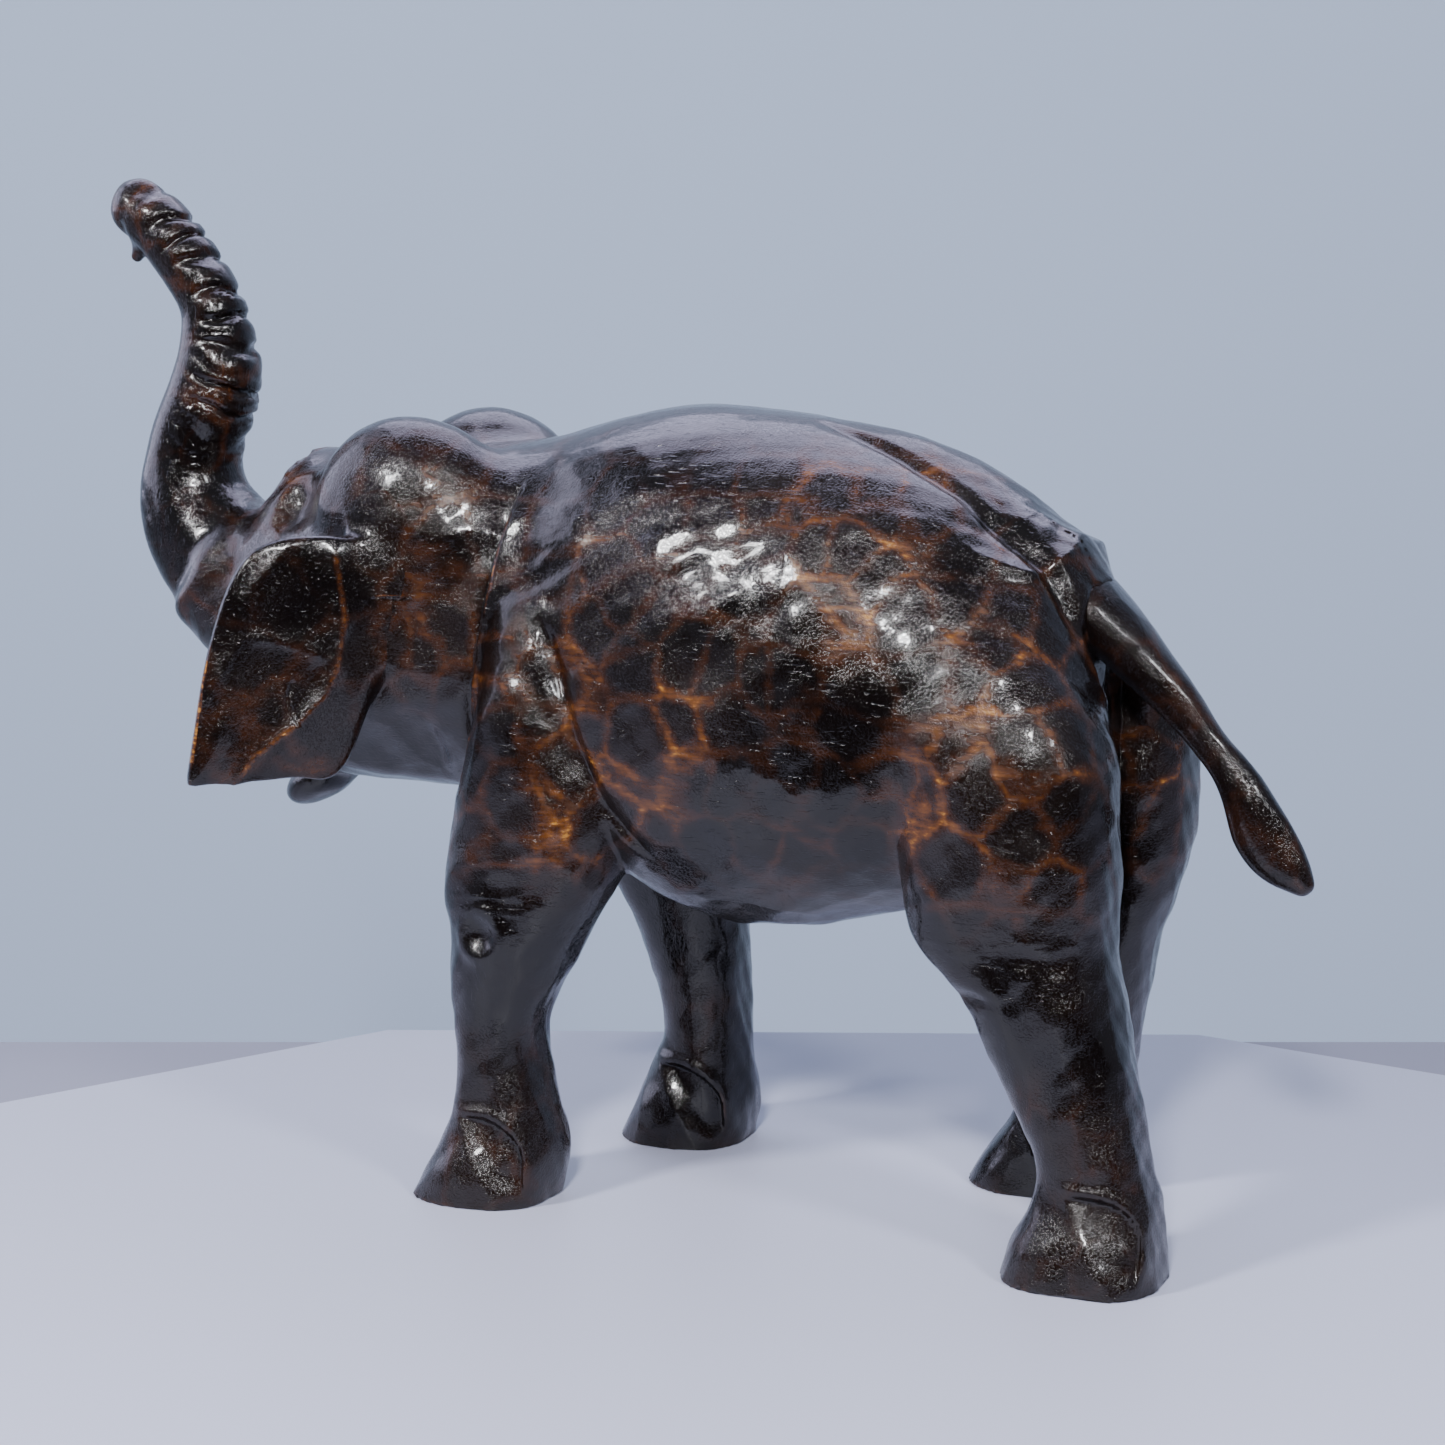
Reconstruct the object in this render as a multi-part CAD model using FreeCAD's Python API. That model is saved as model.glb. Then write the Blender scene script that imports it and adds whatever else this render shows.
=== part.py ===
import FreeCAD, Part
import math
import os

# Carved wooden elephant with a raised trunk: ten carved blanks glued up on hidden dowels.
# Millimetres. The elephant faces -Y, its left side is +X, and its soles stand on z = 0.
# The origin is under the middle of the whole figure.

V = FreeCAD.Vector

# Overall sizes
leg_height = 67.0          # table to the four leg joints
body_length = 153.0        # neck joint to the end of the barrel
neck_y = -35.6             # where the neck joint crosses neck_rise
neck_rise = 70.0           # above the leg joints
neck_lean = 10.0           # degrees that the foot of the neck joint leans forward
leg_track = 68.0           # left sole centre to right sole centre

# Barrel, front half: behind the neck joint, underside, topline (both above the leg joints), half width
BARREL_FORE = [
    (-15.0, 30.0, 116.0, 33.0),
    (3.0, 25.0, 120.5, 35.0),
    (21.0, 18.0, 126.0, 41.0),
    (41.0, 7.0, 130.0, 46.0),
    (61.0, 2.5, 129.5, 49.0),
    (86.0, 5.0, 126.0, 50.0),
]
# Barrel, rear half: ahead of the end of the barrel, underside, topline, half width
BARREL_HIND = [
    (42.0, 12.0, 117.5, 48.0),
    (22.0, 22.0, 104.5, 41.0),
    (12.0, 33.0, 93.0, 33.0),
    (5.0, 45.0, 82.5, 22.0),
    (0.0, 54.0, 74.0, 10.0),
]
barrel_waist = 0.42        # height of the widest line, as a fraction of each section
barrel_squareness = 2.2

# Head: ahead of the neck joint, underside, top, half width
HEAD = [
    (-19.0, 32.0, 119.0, 35.0),
    (-3.0, 31.0, 119.5, 35.5),
    (14.0, 31.0, 118.0, 36.0),
    (29.0, 31.0, 116.0, 36.0),
    (44.0, 31.0, 115.0, 35.5),
    (59.0, 31.0, 115.0, 32.0),
    (70.0, 33.0, 111.5, 27.5),
    (81.0, 43.0, 101.0, 23.5),
    (91.0, 57.0, 99.5, 21.0),
    (101.0, 66.5, 97.0, 19.0),
    (112.0, 76.0, 95.0, 17.0),
]
head_waist = 0.45
head_squareness = 2.4
dome_spacing = 41.0        # between the tops of the two domes
dome_ahead = 27.0          # dome middle ahead of the neck joint
dome_centre_rise = 101.0   # above the leg joints
dome_half_width = 18.5
dome_half_length = 27.0
dome_half_height = 25.5
lip_ahead = 68.0           # lower lip ahead of the neck joint
lip_rise = 28.5
lip_half_width = 9.0
lip_half_length = 11.5
lip_half_height = 5.5
lip_tilt = 32.0            # degrees, tip down
eye_ahead = 63.0           # of the neck joint
eye_rise = 86.0
eye_x = 27.0
eye_half_width = 3.5
eye_half_length = 5.0
eye_half_height = 3.2

# Trunk: joint centre, then ahead of it, above it, climb, half width, half depth
trunk_joint_ahead = 94.5   # of the neck joint
trunk_joint_rise = 84.5    # above the leg joints
TRUNK = [
    (-8.2, -5.7, 35.0, 17.8, 18.2),
    (0.0, 0.0, 35.0, 17.5, 17.8),
    (7.5, 8.5, 58.0, 16.0, 16.3),
    (11.5, 18.0, 75.0, 14.3, 14.4),
    (11.6, 27.0, 86.0, 12.8, 12.6),
    (9.9, 34.0, 92.0, 12.2, 12.1),
    (5.8, 43.5, 97.0, 11.8, 11.8),
    (3.4, 52.5, 92.0, 11.0, 11.0),
    (3.5, 60.5, 84.0, 9.6, 9.4),
    (4.9, 68.0, 74.0, 8.6, 8.1),
    (9.2, 75.5, 58.0, 8.3, 7.9),
    (16.5, 84.5, 46.0, 8.3, 8.0),
    (24.0, 91.5, 36.0, 8.1, 8.1),
    (29.3, 94.6, 26.0, 7.2, 7.6),
    (33.0, 96.2, 20.0, 4.4, 4.8),
]
# The trunk is carved in even steps; every second step between these two is a raised ring
trunk_steps = 37
ring_steps = (9, 31)
ring_proud = 0.9           # how far a ring stands out at the back
finger_ahead = 27.0        # lower finger of the tip, from the trunk joint
finger_rise = 84.5
finger_half_width = 3.2
finger_half_length = 3.7
finger_half_height = 5.5

# Ears: out along the ear from its root, lower edge, upper edge, thickness
ear_flare = 40.0           # degrees that the ear stands off the head
ear_root_ahead = 29.0      # of the neck joint, where the middle of the ear meets its glue face
ear_root_x = 38.0          # glue face of each ear, a plane square to X
EAR = [
    (-12.0, 64.0, 96.0, 10.0),
    (-3.0, 62.5, 97.0, 9.6),
    (1.0, 54.0, 97.8, 8.8),
    (5.0, 43.5, 98.0, 7.8),
    (9.0, 38.0, 98.2, 7.0),
    (18.0, 37.8, 98.4, 6.2),
    (26.0, 37.5, 96.6, 5.6),
    (32.0, 37.3, 91.8, 5.2),
    (36.0, 37.2, 84.3, 4.8),
    (39.5, 37.1, 74.0, 4.4),
    (42.5, 37.1, 61.4, 4.0),
    (45.0, 37.0, 47.0, 3.5),
    (46.3, 37.0, 40.0, 2.8),
]
ear_seat_half_length = 9.5     # flat boss on the head that carries the ear
ear_seat_half_height = 19.0
ear_seat_rise = 79.5
ear_seat_depth = 12.0

# Tail: joint centre, then behind it, below it, climb, half width, half depth
tail_joint_setback = 8.5       # tail joint ahead of the end of the barrel
tail_joint_rise = 86.5         # above the leg joints
TAIL = [
    (0.0, 0.0, -138.0, 13.0, 7.5),
    (8.0, 7.5, -134.0, 11.0, 7.0),
    (16.0, 15.5, -132.0, 8.0, 6.0),
    (24.5, 24.5, -130.0, 5.6, 4.8),
    (31.5, 33.0, -128.0, 4.3, 4.2),
    (37.5, 40.5, -122.0, 4.5, 5.0),
    (42.0, 49.0, -118.0, 4.8, 6.6),
    (46.5, 56.5, -125.0, 4.5, 6.8),
    (52.0, 62.0, -135.0, 3.4, 4.4),
    (55.5, 65.5, -135.0, 1.6, 1.6),
]
# Raised band on the back that leads to the tail: ahead of the tail joint, above it, climb, sizes
TAIL_BAND = [
    (48.0, 33.5, -164.0, 5.0, 3.5),
    (34.0, 28.5, -158.0, 8.0, 4.5),
    (18.0, 19.0, -147.0, 11.0, 5.0),
    (0.0, 0.0, -138.0, 13.0, 7.5),
]

# Legs. Sole centres of the front legs are behind the neck joint, those of the rear legs behind the
# end of the barrel. Feet rows: height above the table, front and rear edge from the sole centre,
# inward shift of the middle, half width. Shank rows start with the drop below the leg joint.
front_left_sole_back = 0.5
front_right_sole_back = 23.5
rear_left_sole_back = 6.0
rear_right_sole_back = -30.0
FRONT_LEFT_FOOT = [
    (0.0, -18.3, 17.2, 0.0, 17.0),
    (10.0, -13.0, 19.0, 0.5, 16.0),
    (18.0, -9.5, 18.3, 1.0, 14.5),
]
FRONT_LEFT_SHANK = [
    (36.0, -6.5, 15.3, 1.5, 13.2),
    (21.0, -7.5, 14.8, 2.0, 13.2),
    (8.0, -9.0, 21.0, 2.5, 14.8),
    (0.0, -9.0, 25.0, 3.0, 16.0),
]
FRONT_RIGHT_FOOT = [
    (0.0, -17.4, 17.0, 0.0, 17.0),
    (10.0, -12.0, 18.3, 0.5, 16.0),
    (18.0, -8.4, 18.3, 1.0, 14.5),
]
FRONT_RIGHT_SHANK = [
    (36.0, -3.5, 17.5, 1.5, 13.2),
    (21.0, -6.7, 17.5, 2.0, 13.2),
    (8.0, -11.3, 17.2, 2.5, 14.8),
    (0.0, -15.2, 17.0, 3.0, 16.0),
]
REAR_LEFT_FOOT = [
    (0.0, -20.5, 18.0, 0.0, 17.5),
    (10.0, -17.0, 17.3, 0.5, 16.0),
    (18.0, -13.0, 16.0, 1.5, 14.2),
    (26.0, -12.0, 13.8, 2.0, 13.8),
]
REAR_LEFT_SHANK = [
    (27.0, -18.3, 10.4, 2.9, 14.5),
    (20.0, -22.0, 8.8, 3.7, 15.3),
    (10.0, -27.5, 6.5, 4.5, 17.0),
    (0.0, -34.0, 4.5, 5.0, 18.5),
]
REAR_RIGHT_FOOT = [
    (0.0, -17.2, 18.5, 0.0, 17.0),
    (10.0, -11.5, 20.5, 0.5, 16.0),
    (18.0, -6.0, 22.3, 1.5, 14.2),
    (26.0, -2.5, 24.0, 2.0, 13.8),
]
REAR_RIGHT_SHANK = [
    (27.0, -2.5, 26.5, 2.9, 14.5),
    (20.0, -4.5, 27.5, 3.7, 15.3),
    (10.0, -7.5, 29.5, 4.5, 17.0),
    (0.0, -10.0, 31.5, 5.0, 18.5),
]
# Shoulder and thigh on the body: above the leg joints, front edge and rear edge behind the neck
# joint (shoulder) or ahead of the barrel end (thigh), inward shift, half width
SHOULDER_LEFT = [
    (13.0, -10.0, 33.0, 4.5, 18.0),
    (33.0, -7.5, 38.0, 6.5, 20.0),
]
SHOULDER_RIGHT = [
    (13.0, 3.0, 40.5, 4.5, 18.0),
    (33.0, -3.0, 38.5, 6.5, 20.0),
]
SHOULDER_TOP = [
    (51.0, -2.0, 32.0, 9.0, 20.0),
    (68.0, 2.0, 26.0, 12.5, 19.5),
    (83.0, 6.0, 22.0, 17.0, 17.0),
    (96.0, 10.0, 18.0, 23.0, 11.0),
]
THIGH_LEFT = [
    (9.0, -37.0, 9.0, 4.8, 18.3),
    (23.0, -40.5, 9.5, 3.3, 18.8),
]
THIGH_RIGHT = [
    (9.0, -41.0, 5.0, 4.8, 18.3),
    (23.0, -41.5, 8.5, 3.3, 18.8),
]
THIGH_TOP = [
    (38.0, -41.0, 9.5, 2.8, 19.3),
    (53.0, -40.0, 8.0, 3.5, 19.5),
    (68.0, -36.0, 0.0, 7.5, 19.5),
    (82.0, -30.0, -9.0, 14.5, 15.5),
    (93.0, -23.0, -15.0, 20.0, 8.0),
]
leg_squareness = 2.5

# Dowels and their holes
leg_dowel_radius = 3.5
leg_dowel_length = 28.0
leg_dowel_spacing = 13.0
neck_dowel_radius = 6.0
neck_dowel_length = 56.0
neck_dowel_spacing = 36.0
trunk_dowel_radius = 5.0
trunk_dowel_length = 34.0
ear_dowel_radius = 1.5
ear_dowel_length = 12.0
ear_dowel_spacing = 16.0
ear_dowel_swing = 44.0     # degrees of the ear dowels off the Y axis
tail_dowel_radius = 2.5
tail_dowel_length = 22.0
glue_gap = 0.1             # radial room for glue round a dowel
glue_well = 1.0            # spare depth at each end of a dowel hole

RING_POINTS = 16
BLOCK = 400.0              # side of the blocks that trim the blanks to their glue faces


def ring(centre, across, up, half_width, top, bottom, squareness=2.0):
    """Closed curve round centre: half_width to each side, top above it and bottom below it."""
    points = []
    for k in range(RING_POINTS):
        angle = 2 * math.pi * k / RING_POINTS
        c = math.cos(angle)
        s = math.sin(angle)
        height = top if s > 0 else bottom
        u = half_width * math.copysign(abs(c) ** (2 / squareness), c)
        v = height * math.copysign(abs(s) ** (2 / squareness), s)
        points.append(centre + across * u + up * v)
    curve = Part.BSplineCurve()
    curve.interpolate(Points=points, PeriodicFlag=True)
    return Part.Wire([curve.toShape()])


def loft(rings):
    return Part.makeLoft(rings, True, False)


def body_ring(y, underside, topline, half_width, waist, squareness):
    """Section of the barrel or the head, square to Y."""
    middle = underside + (topline - underside) * waist
    centre = V(0, y, leg_height + middle)
    return ring(centre, V(1, 0, 0), V(0, 0, 1), half_width, topline - middle, middle - underside, squareness)


def between_rows(rows, place):
    """The row at a place part of the way along a table, on a smooth curve through its rows."""
    index = min(int(place), len(rows) - 2)
    share = place - index
    near = [rows[min(max(index + step, 0), len(rows) - 1)] for step in (-1, 0, 1, 2)]
    row = []
    for a, b, c, d in zip(*near):
        bend = (2 * a - 5 * b + 4 * c - d) * share ** 2 + (3 * b - a - 3 * c + d) * share ** 3
        row.append(b + ((c - a) * share + bend) / 2)
    return row


def path_ring(y, z, climb, half_width, half_depth, proud=0.0):
    """Section square to a path in the middle plane; climb 0 runs to -Y and 90 runs straight up."""
    angle = math.radians(climb)
    up = V(0, math.sin(angle), math.cos(angle))
    return ring(V(0, y, z), V(1, 0, 0), up, half_width, half_depth + proud, half_depth)


def level_ring(x, front, rear, z, half_width):
    """Level section of a leg, from its front edge to its rear edge."""
    half_length = (rear - front) / 2
    centre = V(x, front + half_length, z)
    return ring(centre, V(1, 0, 0), V(0, 1, 0), half_width, half_length, half_length, leg_squareness)


def egg(centre, half_x, half_y, half_z, tilt=0.0):
    """Ellipsoid; tilt in degrees about X."""
    stretch = FreeCAD.Matrix()
    stretch.scale(half_x, half_y, half_z)
    body = Part.makeSphere(1.0).transformGeometry(stretch)
    body.rotate(V(0, 0, 0), V(1, 0, 0), tilt)
    body.translate(centre)
    return body


def block_beyond(point, normal):
    """Block that fills the side of a plane that normal points to."""
    block = Part.makeBox(BLOCK, BLOCK, BLOCK, V(-BLOCK / 2, -BLOCK / 2, 0))
    block.Placement = FreeCAD.Placement(point, FreeCAD.Rotation(V(0, 0, 1), normal))
    return block


def peg(point, axis, radius, length):
    axis = V(axis).normalize()
    return Part.makeCylinder(radius, length, point - axis * (length / 2), axis)


def peg_hole(point, axis, radius, length):
    return peg(point, axis, radius + glue_gap, length + 2 * glue_well)


def largest(shape):
    return max(shape.Solids, key=lambda solid: solid.Volume)


def mirrored(shape):
    return shape.mirror(V(0, 0, 0), V(1, 0, 0))


# Glue faces
neck_point = V(0, neck_y, leg_height + neck_rise)
lean = math.radians(neck_lean)
neck_normal = V(0, -math.cos(lean), math.sin(lean))
leg_plane = V(0, 0, leg_height)
barrel_end = neck_y + body_length
trunk_y = neck_y - trunk_joint_ahead
trunk_z = leg_height + trunk_joint_rise
trunk_angle = math.radians(TRUNK[0][2])
trunk_normal = V(0, -math.cos(trunk_angle), math.sin(trunk_angle))
trunk_point = V(0, trunk_y, trunk_z)
tail_y = barrel_end - tail_joint_setback
tail_z = leg_height + tail_joint_rise
tail_angle = math.radians(TAIL[0][2])
tail_normal = V(0, -math.cos(tail_angle), math.sin(tail_angle))
tail_point = V(0, tail_y, tail_z)
sole_x = leg_track / 2


# Legs
def leg(side, sole_y, rows):
    rings = [level_ring(side * (sole_x - shift), sole_y + front, sole_y + rear, z, half)
             for z, front, rear, shift, half in rows]
    return loft(rings)


def leg_on_body(side, joint_ring, rows, datum):
    """Shoulder or thigh: grows from the top ring of its leg into the body."""
    rings = [joint_ring]
    for rise, front, rear, shift, half in rows:
        x = side * (sole_x - shift)
        rings.append(level_ring(x, datum + front, datum + rear, leg_height + rise, half))
    return loft(rings)


def top_ring(side, sole_y, rows):
    z, front, rear, shift, half = rows[-1]
    return level_ring(side * (sole_x - shift), sole_y + front, sole_y + rear, z, half)


def top_centre(side, sole_y, rows):
    z, front, rear, shift, half = rows[-1]
    return V(side * (sole_x - shift), sole_y + (front + rear) / 2, z)


def leg_rows(foot, shank):
    """Rows of one leg from the table up to its joint."""
    return foot + [(leg_height - drop, front, rear, shift, half) for drop, front, rear, shift, half in shank]


LEGS = {
    "front_left_leg": (1, neck_y + front_left_sole_back, leg_rows(FRONT_LEFT_FOOT, FRONT_LEFT_SHANK),
                       SHOULDER_LEFT + SHOULDER_TOP, neck_y),
    "front_right_leg": (-1, neck_y + front_right_sole_back, leg_rows(FRONT_RIGHT_FOOT, FRONT_RIGHT_SHANK),
                        SHOULDER_RIGHT + SHOULDER_TOP, neck_y),
    "rear_left_leg": (1, barrel_end + rear_left_sole_back, leg_rows(REAR_LEFT_FOOT, REAR_LEFT_SHANK),
                      THIGH_LEFT + THIGH_TOP, barrel_end),
    "rear_right_leg": (-1, barrel_end + rear_right_sole_back, leg_rows(REAR_RIGHT_FOOT, REAR_RIGHT_SHANK),
                       THIGH_RIGHT + THIGH_TOP, barrel_end),
}

# Torso: barrel, shoulders, thighs and the band that leads to the tail
barrel_rings = [body_ring(neck_y + behind, low, high, half, barrel_waist, barrel_squareness)
                for behind, low, high, half in BARREL_FORE]
barrel_rings += [body_ring(barrel_end - ahead, low, high, half, barrel_waist, barrel_squareness)
                 for ahead, low, high, half in BARREL_HIND]
torso = loft(barrel_rings)
for side, sole_y, rows, body_rows, datum in LEGS.values():
    torso = torso.fuse(leg_on_body(side, top_ring(side, sole_y, rows), body_rows, datum))
band_rings = [path_ring(tail_y - ahead, tail_z + rise, climb, half, depth)
              for ahead, rise, climb, half, depth in TAIL_BAND]
torso = torso.fuse(loft(band_rings))
torso = torso.cut(block_beyond(neck_point, neck_normal))
torso = torso.cut(block_beyond(leg_plane, V(0, 0, -1)))

# Tail
tail = loft([path_ring(tail_y + behind, tail_z - below, climb, half, depth)
             for behind, below, climb, half, depth in TAIL])
torso = torso.cut(tail)

# Head with domes, ear seats, eyes and lower lip
head = loft([body_ring(neck_y - ahead, low, high, half, head_waist, head_squareness)
             for ahead, low, high, half in HEAD])
for side in (-1, 1):
    dome_centre = V(side * dome_spacing / 2, neck_y - dome_ahead, leg_height + dome_centre_rise)
    head = head.fuse(egg(dome_centre, dome_half_width, dome_half_length, dome_half_height))
    seat_centre = V(side * ear_root_x, neck_y - ear_root_ahead, leg_height + ear_seat_rise)
    seat_rim = ring(seat_centre, V(0, 1, 0), V(0, 0, 1), ear_seat_half_length, ear_seat_half_height,
                    ear_seat_half_height)
    seat = Part.Face(seat_rim).extrude(V(-side * ear_seat_depth, 0, 0))
    head = head.fuse(seat)
    eye_centre = V(side * eye_x, neck_y - eye_ahead, leg_height + eye_rise)
    head = head.fuse(egg(eye_centre, eye_half_width, eye_half_length, eye_half_height))
lip_centre = V(0, neck_y - lip_ahead, leg_height + lip_rise)
head = head.fuse(egg(lip_centre, lip_half_width, lip_half_length, lip_half_height, lip_tilt))
head = head.common(block_beyond(neck_point, neck_normal))
head = head.cut(block_beyond(trunk_point, trunk_normal))

# Trunk with the rings on its back and the lower finger of its tip
trunk_rings = []
for step in range(trunk_steps + 1):
    ahead, rise, climb, half, depth = between_rows(TRUNK, step * (len(TRUNK) - 1) / trunk_steps)
    raised = step in range(ring_steps[0], ring_steps[1], 2)
    proud = ring_proud if raised else 0.0
    trunk_rings.append(path_ring(trunk_y - ahead, trunk_z + rise, climb, half, depth, proud))
trunk = loft(trunk_rings)
finger_centre = V(0, trunk_y - finger_ahead, trunk_z + finger_rise)
trunk = trunk.fuse(egg(finger_centre, finger_half_width, finger_half_length, finger_half_height))
trunk = trunk.common(block_beyond(trunk_point, trunk_normal))

# Ears
flare = math.radians(ear_flare)
ear_out = V(math.sin(flare), -math.cos(flare), 0)
ear_across = V(math.cos(flare), math.sin(flare), 0)
ear_start = V(ear_root_x, neck_y - ear_root_ahead, leg_height)
ear_rings = []
for out, low, high, thickness in EAR:
    centre = ear_start + ear_out * out + V(0, 0, (low + high) / 2)
    half_height = (high - low) / 2
    ear_rings.append(ring(centre, ear_across, V(0, 0, 1), thickness / 2, half_height, half_height))
left_ear = loft(ear_rings).common(block_beyond(V(ear_root_x, 0, leg_height + ear_seat_rise), V(1, 0, 0)))
left_ear = left_ear.cut(head)

# Dowels, and the blind holes they sit in
swing = math.radians(ear_dowel_swing)
neck_up = V(0, math.sin(lean), math.cos(lean))
neck_pegs = [(neck_point + neck_up * (end * neck_dowel_spacing / 2), neck_normal) for end in (-1, 1)]
trunk_pegs = [(trunk_point, trunk_normal)]
tail_pegs = [(tail_point, tail_normal)]
ear_peg_y = neck_y - ear_root_ahead
ear_pegs = []
for side in (-1, 1):
    for end in (-1, 1):
        z = leg_height + ear_seat_rise + end * ear_dowel_spacing / 2
        axis = V(side * math.sin(swing), -math.cos(swing), 0)
        ear_pegs.append((V(side * ear_root_x, ear_peg_y, z), axis))
leg_pegs = []
for side, sole_y, rows, body_rows, datum in LEGS.values():
    middle = (top_centre(side, sole_y, rows) + top_centre(side, sole_y, rows[:-1])) / 2
    for end in (-1, 1):
        leg_pegs.append((V(middle.x, middle.y + end * leg_dowel_spacing / 2, leg_height), V(0, 0, 1)))

PEGS = {
    "neck_dowels": (neck_pegs, neck_dowel_radius, neck_dowel_length),
    "trunk_dowel": (trunk_pegs, trunk_dowel_radius, trunk_dowel_length),
    "ear_dowels": (ear_pegs, ear_dowel_radius, ear_dowel_length),
    "tail_dowel": (tail_pegs, tail_dowel_radius, tail_dowel_length),
    "leg_dowels": (leg_pegs, leg_dowel_radius, leg_dowel_length),
}
DRILLED = {
    "torso": ("neck_dowels", "tail_dowel", "leg_dowels"),
    "head": ("neck_dowels", "trunk_dowel", "ear_dowels"),
    "trunk": ("trunk_dowel",),
    "left_ear": ("ear_dowels",),
    "right_ear": ("ear_dowels",),
    "tail": ("tail_dowel",),
}

nodes = {
    "torso": torso,
    "head": head,
    "trunk": trunk,
    "left_ear": left_ear,
    "right_ear": mirrored(left_ear).cut(head),
    "tail": tail,
}
for name, (side, sole_y, rows, body_rows, datum) in LEGS.items():
    nodes[name] = leg(side, sole_y, rows)
    DRILLED[name] = ("leg_dowels",)

for name, kinds in DRILLED.items():
    for kind in kinds:
        places, radius, length = PEGS[kind]
        for point, axis in places:
            nodes[name] = nodes[name].cut(peg_hole(point, axis, radius, length))
    nodes[name] = largest(nodes[name])

for kind, (places, radius, length) in PEGS.items():
    nodes[kind] = Part.makeCompound([peg(point, axis, radius, length) for point, axis in places])

os.makedirs("parts", exist_ok=True)
for name, shape in nodes.items():
    shape.exportStep("parts/" + name + ".step")
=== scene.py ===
import bpy
import bmesh
import math
import numpy as np
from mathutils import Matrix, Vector


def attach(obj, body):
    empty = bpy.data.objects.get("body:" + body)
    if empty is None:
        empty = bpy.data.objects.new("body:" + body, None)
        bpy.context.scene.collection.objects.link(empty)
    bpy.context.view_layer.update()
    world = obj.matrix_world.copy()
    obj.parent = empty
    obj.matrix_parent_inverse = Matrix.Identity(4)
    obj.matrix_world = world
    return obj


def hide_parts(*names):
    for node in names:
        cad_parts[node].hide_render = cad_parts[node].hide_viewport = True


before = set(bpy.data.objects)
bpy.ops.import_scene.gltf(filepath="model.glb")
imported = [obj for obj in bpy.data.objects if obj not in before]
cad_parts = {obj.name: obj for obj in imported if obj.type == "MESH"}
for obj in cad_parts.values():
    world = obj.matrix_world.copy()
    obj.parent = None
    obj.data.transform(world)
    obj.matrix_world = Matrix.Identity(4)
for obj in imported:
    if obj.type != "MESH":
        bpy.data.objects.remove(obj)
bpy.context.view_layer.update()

# Lengths in the carving tables are millimetres; the scene itself is in metres.
MM = 0.001
GRAIN = 1.0      # width of the carver's smallest cut
AWAY = 60.0                             # stands for anywhere well outside the wood


# ---------------------------------------------------------------- shaping tools
def flowing(rows, steps=220):
    """Stations filled in with a smooth curve through them; the first column leads."""
    table = np.array(rows, float)
    lead = table[:, 0]
    count = len(lead)
    gap = np.diff(lead)
    matrix = np.eye(count)
    for i in range(1, count - 1):
        matrix[i, i - 1:i + 2] = gap[i - 1], 2 * (gap[i - 1] + gap[i]), gap[i]
    slope = np.diff(table, axis=0) / gap[:, None]
    pull = np.zeros_like(table)
    pull[1:-1] = 6 * np.diff(slope, axis=0)
    bend = np.linalg.solve(matrix, pull)
    at = np.linspace(lead[0], lead[-1], steps)
    i = np.clip(np.searchsorted(lead, at) - 1, 0, count - 2)
    a, w = (at - lead[i])[:, None], gap[i][:, None]
    return (table[i] + a * (slope[i] - w * (2 * bend[i] + bend[i + 1]) / 6)
            + a ** 2 * bend[i] / 2 + a ** 3 * (bend[i + 1] - bend[i]) / (6 * w))


def read_off(table, at):
    """The other columns of a table at given places in its first column."""
    return [np.interp(at, table[:, 0], table[:, k]) for k in range(1, table.shape[1])]


def join(a, b, soft):
    """Two shapes as one, with a fillet as wide as soft."""
    h = np.clip(0.5 + 0.5 * (b - a) / soft, 0, 1)
    return b + (a - b) * h - soft * h * (1 - h)


def keep_within(a, b, soft):
    """Only the wood that both shapes hold, with its edge rounded as wide as soft."""
    return -join(-a, -b, soft)


def ramp(x, start, end):
    """Eases from 0 at start to 1 at end."""
    t = np.clip((x - start) / (end - start), 0, 1)
    return t * t * (3 - 2 * t)


def section(u, v, half_u, half_v, squareness):
    """How far outside a rounded section a point lies; inside is below zero."""
    a, b = np.abs(u) / half_u, np.abs(v) / half_v
    rho = (a ** squareness + b ** squareness + 1e-9) ** (1 / squareness)
    steep = np.hypot(a ** (squareness - 1) / half_u, b ** (squareness - 1) / half_v)
    return (rho - 1) / np.maximum(steep / rho ** (squareness - 1), 0.4 / np.maximum(half_u, half_v))


def egg(p, centre, half, tilt=0.0):
    """Egg-shaped lump; tilt in degrees about X."""
    q = p - np.array(centre)
    c, s = math.cos(math.radians(tilt)), math.sin(math.radians(tilt))
    q = np.stack([q[:, 0], c * q[:, 1] + s * q[:, 2], c * q[:, 2] - s * q[:, 1]], 1)
    half = np.array(half)
    near = np.linalg.norm(q / half, axis=1)
    return near * (near - 1) / np.maximum(np.linalg.norm(q / half ** 2, axis=1), 1e-6)


def roll(p, start, end, start_radius, end_radius):
    """Tapered round bar from start to end."""
    a, b = np.array(start, float), np.array(end, float)
    t = np.clip((p - a) @ (b - a) / ((b - a) @ (b - a)), 0, 1)
    radius = start_radius + (end_radius - start_radius) * t
    return np.linalg.norm(p - a - t[:, None] * (b - a), axis=1) - radius


def only_near(p, low, high, shape):
    """Works a shape out only where it can matter."""
    inside = np.all((p > np.array(low)) & (p < np.array(high)), axis=1)
    out = np.full(len(p), AWAY)
    if inside.any():
        out[inside] = shape(p[inside])
    return out


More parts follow.
